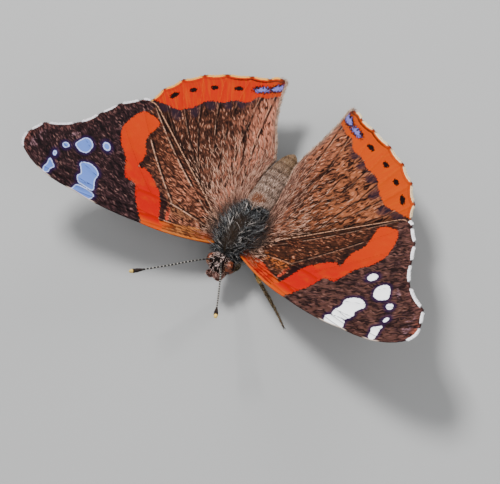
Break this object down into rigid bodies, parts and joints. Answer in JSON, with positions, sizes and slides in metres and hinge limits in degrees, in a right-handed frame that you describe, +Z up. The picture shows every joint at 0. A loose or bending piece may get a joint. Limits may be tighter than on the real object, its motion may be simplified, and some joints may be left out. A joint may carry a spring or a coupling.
{
  "type": "red admiral butterfly model",
  "caption": "Life-size still model of a red admiral butterfly standing with its wings spread, with legs, clubbed antennae and raised wing veins.",
  "frame": {"origin": "middle of the model's box, on the ground under its feet", "axes": "+X to the insect's left, +Y from head to tail, +Z up"},
  "size_m": [0.0644, 0.0356, 0.0145],
  "materials": {
    "wing_scales": "matt overlapping scales in dark brown, red-orange and white",
    "body_hair": "soft dark brown and grey hair",
    "compound_eye": "red-brown, finely faceted, softly glossy",
    "antenna": "black with pale rings and a pale tip",
    "leg": "brown scaled legs with dark spines",
    "tongue": "dark brown and smooth"
  },
  "bodies": {
    "root": {"abdomen": "body_hair", "antenna_left": "antenna", "antenna_right": "antenna", "eye_left": "compound_eye", "eye_right": "compound_eye", "foreleg_left": "leg", "foreleg_right": "leg", "forewing_left": "wing_scales", "forewing_right": "wing_scales", "head": "body_hair", "hindleg_left": "leg", "hindleg_right": "leg", "hindwing_left": "wing_scales", "hindwing_right": "wing_scales", "midleg_left": "leg", "midleg_right": "leg", "palp_left": "body_hair", "palp_right": "body_hair", "proboscis": "tongue", "thorax": "body_hair"}
  },
  "joints": []
}
